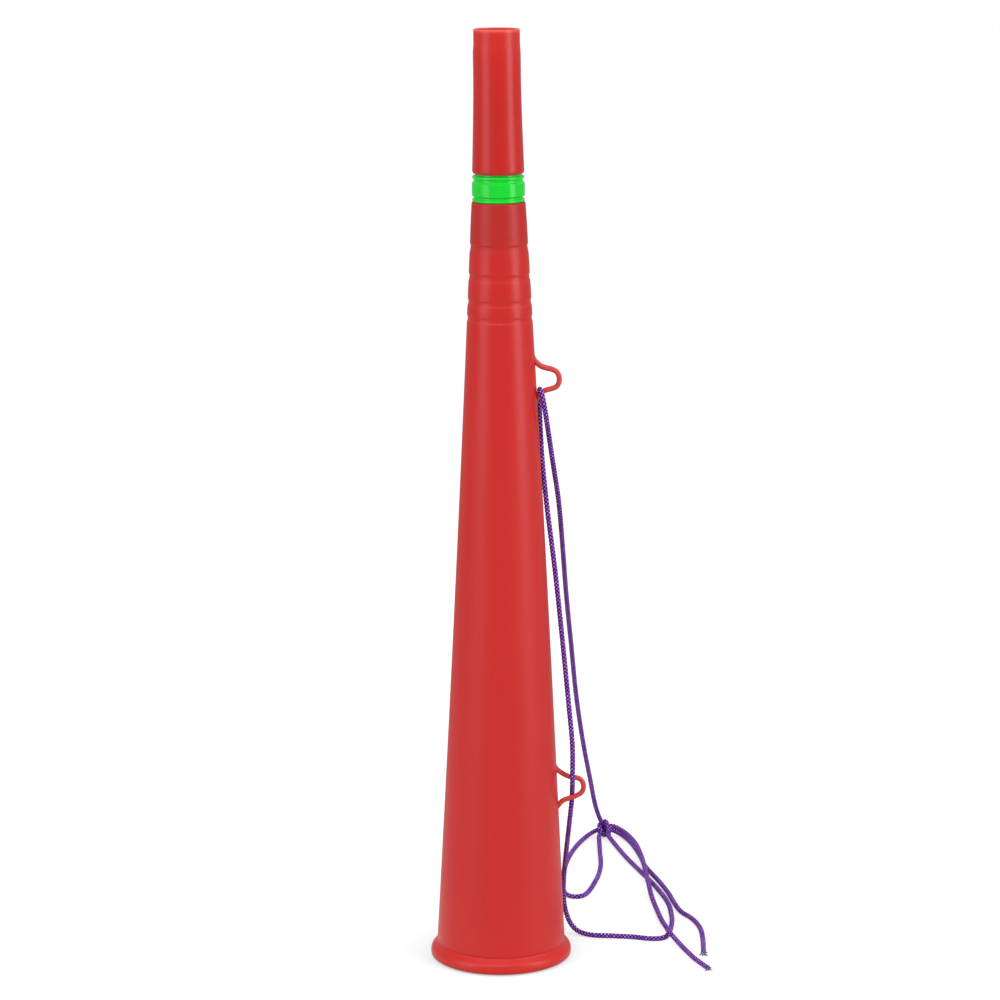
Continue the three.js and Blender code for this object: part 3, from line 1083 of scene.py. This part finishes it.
tube_stops = [
    (530 * mm, tube_foot_shade_red, 0.32),
    (565 * mm, tube_foot_shade_red, 0.33),
    (600 * mm, red, 0.34),
    (618.3 * mm, lip_lit_red, 0.34),
    (tube_high[2], lip_edge_highlight, 0.30),
]
tube_plastic = plastic_finish("mouth_tube_plastic", tube_stops, pale_red, small_piece_grain)
tube = turned_piece("mouth_piece", mouth_tube_outline() + (0, tube_seat), tube_easing,
                    piece_span, ring_columns, tube_plastic)
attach(tube, "mouth")
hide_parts("mouth_tube")


# Studio
# A plain white floor that runs to the horizon, a white surround, and three soft lamps: a
# strong one to the right, a weaker one to the left and a large one high in front.

floor_half_size = 30
floor_drop = 0.1 * mm
floor_colour = (0.57, 0.57, 0.57, 1)
glow_reach = 0.70

# The floor's glow by the distance from the horn's axis in metres. It is dimmer close to the rim,
# a painted shadow round the foot, and there a little less red, which makes up for the red light
# that the horn throws there. Further out it grows brighter, which paints over the shadows behind
# the horn and under the cords.
glow_and_painted_shadow_stops = [
    (0.046, (0.400, 0.485, 0.485, 1)),
    (0.052, (0.445, 0.505, 0.505, 1)),
    (0.058, (0.490, 0.525, 0.525, 1)),
    (0.072, (0.550, 0.560, 0.560, 1)),
    (0.105, (0.620, 0.620, 0.620, 1)),
    (0.700, (0.660, 0.660, 0.660, 1)),
]
mirror_start = 0.12
mirrored_glow = 0.55
surround_light = 0.62
surround_mirrored = 0.45
white = (1, 1, 1, 1)


def seen_directly(tree):
    """1 for rays from the camera and those that a piece lets through."""
    camera_ray = tree.node("ShaderNodeLightPath", output="Is Camera Ray")
    through_ray = tree.node("ShaderNodeLightPath", output="Is Transmission Ray")
    return tree.math("ADD", camera_ray, through_ray, clamp=True)


def floor_finish():
    """White board that keeps its shadows: a pale diffuse surface, plus a glow for rays from the
    camera, which is dimmer near the rim as a painted shadow. Rays that a piece mirrors see a
    share of it too, which fades with distance."""
    material, tree = new_finish("studio_floor")
    place = tree.node("ShaderNodeTexCoord", output="Object")
    from_axis = {0: place, 1: (axis_x, 0, -floor_drop)}
    away = tree.node("ShaderNodeVectorMath", {"operation": "DISTANCE"}, from_axis, output="Value")
    near = 1 - rising(away, mirror_start, glow_reach)
    board = tree.node("ShaderNodeBsdfDiffuse", {}, {"Color": floor_colour})
    # The glow's ramp holds the painted shadow round the rim
    stops = [(distance / glow_reach, colour) for distance, colour in glow_and_painted_shadow_stops]
    ramp = tree.node("ShaderNodeValToRGB", {"stops": stops}, {"Fac": away * (1 / glow_reach)})
    glow = tree.node("ShaderNodeEmission", {}, {"Color": ramp})
    lit = tree.node("ShaderNodeAddShader", {}, {0: board, 1: glow})
    glossy_ray = tree.node("ShaderNodeLightPath", output="Is Glossy Ray")
    mirrored = glossy_ray * near * mirrored_glow
    seen = tree.math("ADD", seen_directly(tree), mirrored, clamp=True)
    surface = tree.node("ShaderNodeMixShader", {}, {0: seen, 1: board, 2: lit})
    tree.node("ShaderNodeOutputMaterial", {}, {"Surface": surface})
    return material


floor_corners = np.array([(-1, -1), (1, -1), (1, 1), (-1, 1)]) * floor_half_size
floor = mesh_piece("floor", np.column_stack([floor_corners, np.full(4, -floor_drop)]),
                   [[0, 1, 2, 3]], floor_finish())

world = bpy.data.worlds.new("surround")
world.use_nodes = True
world.node_tree.nodes.clear()
sky = Socket(world.node_tree)
bright = sky.node("ShaderNodeBackground", {}, {"Color": white, "Strength": surround_light})
dimmer = sky.node("ShaderNodeBackground", {}, {"Color": white, "Strength": surround_mirrored})
mirrored_ray = sky.node("ShaderNodeLightPath", output="Is Glossy Ray")
lighting = sky.node("ShaderNodeMixShader", {}, {0: mirrored_ray, 1: bright, 2: dimmer})
backdrop = sky.node("ShaderNodeBackground", {}, {"Color": white, "Strength": 1.0})
mixed = sky.node("ShaderNodeMixShader", {}, {0: seen_directly(sky), 1: lighting, 2: backdrop})
sky.node("ShaderNodeOutputWorld", {}, {"Surface": mixed})
bpy.context.scene.world = world


def lamp(name, place, size, radiance):
    """A soft rectangular lamp that faces the middle of the horn. Its power is its radiance
    times pi times its area."""
    light = bpy.data.lights.new(name, "AREA")
    light.shape = "RECTANGLE"
    light.size, light.size_y = size
    light.energy = radiance * math.pi * size[0] * size[1]
    made = bpy.data.objects.new(name, light)
    towards = np.array([axis_x, 0, body_top / 2]) - np.array(place)
    made.location = place
    made.rotation_euler = Vector(towards).to_track_quat("-Z", "Y").to_euler()
    bpy.context.collection.objects.link(made)


lamp("right_lamp", place=(1.30, -0.62, 0.90), size=(0.70, 2.2), radiance=2.62)
lamp("left_lamp", place=(-1.35, -0.88, 0.90), size=(1.00, 2.2), radiance=1.52)
lamp("front_lamp", place=(-0.3, -1.9, 3.0), size=(2.0, 2.0), radiance=2.02)
